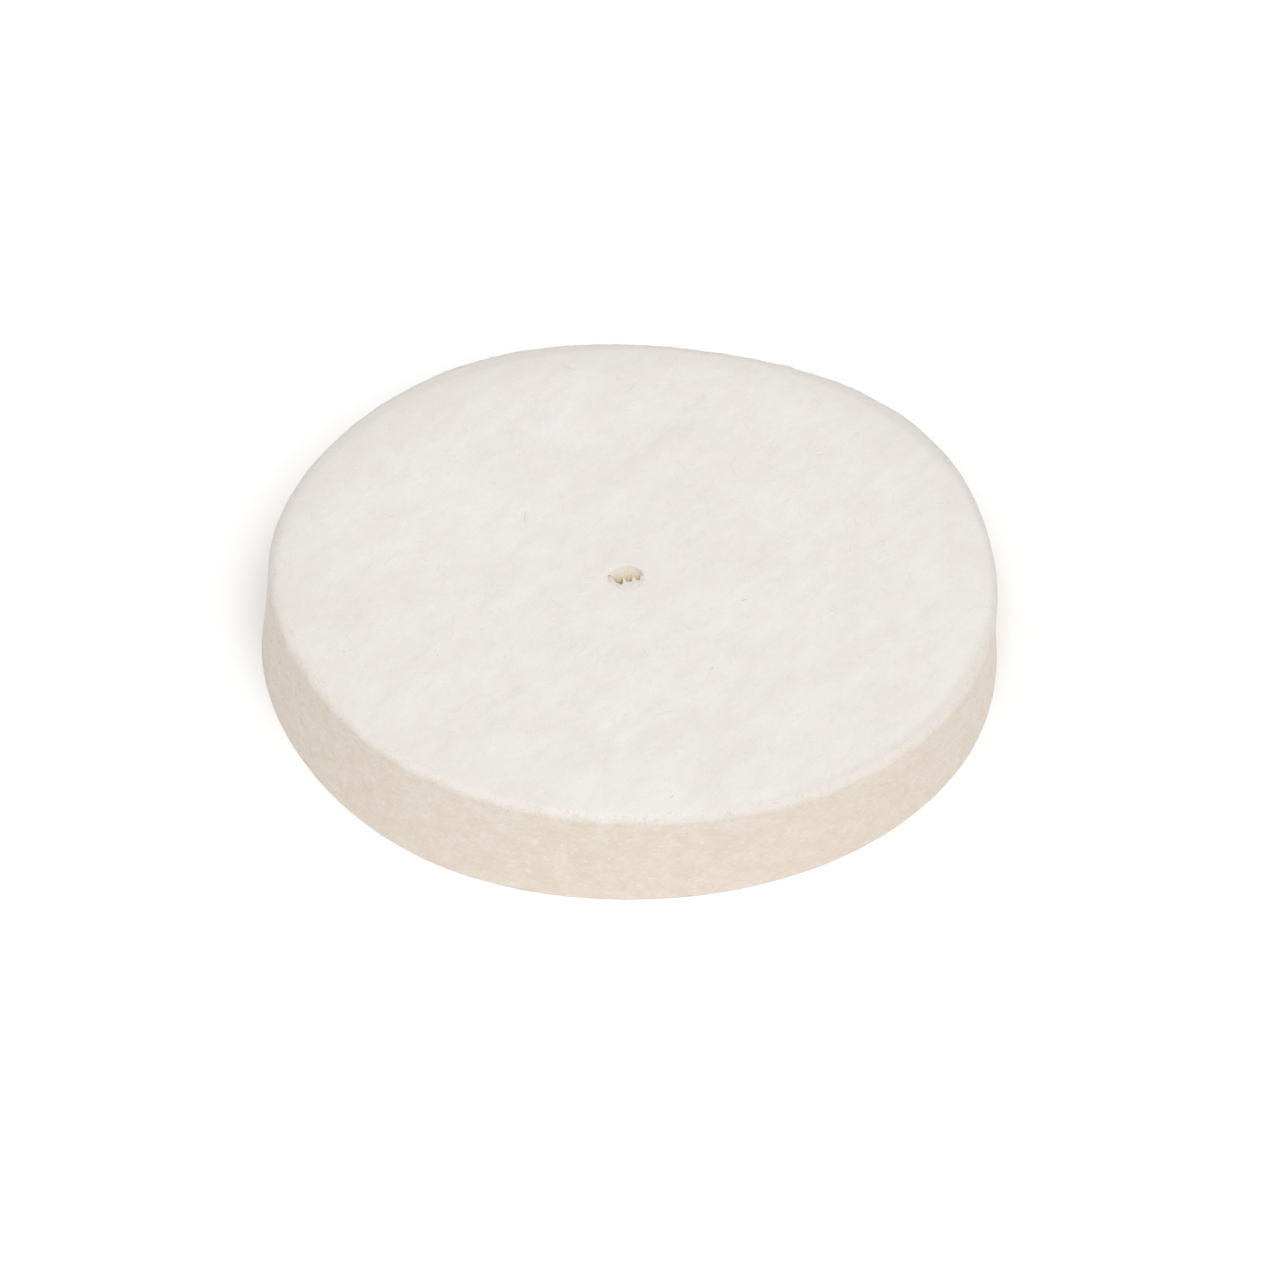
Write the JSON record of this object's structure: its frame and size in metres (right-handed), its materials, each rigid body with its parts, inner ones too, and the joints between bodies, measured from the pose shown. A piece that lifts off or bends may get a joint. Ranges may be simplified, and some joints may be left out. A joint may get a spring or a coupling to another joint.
{
  "type": "felt polishing wheel",
  "caption": "Round disc of pressed white wool felt with a pinhole through its middle, pushed onto a mandrel and spun to polish stone and metal.",
  "frame": {"origin": "centre of the underside, the flat face that the wheel lies on", "axes": "+Z along the wheel's axis of rotation, from the underside to the top face; +X and +Y lie in the underside, with the pinhole a little to the -X side of the centre"},
  "size_m": [0.0222, 0.0222, 0.0032],
  "materials": {
    "wool_felt": "undyed pressed wool felt: matt and slightly fuzzy, with a warmer cut rim"
  },
  "bodies": {
    "root": {"felt_disc": "wool_felt"}
  },
  "joints": []
}
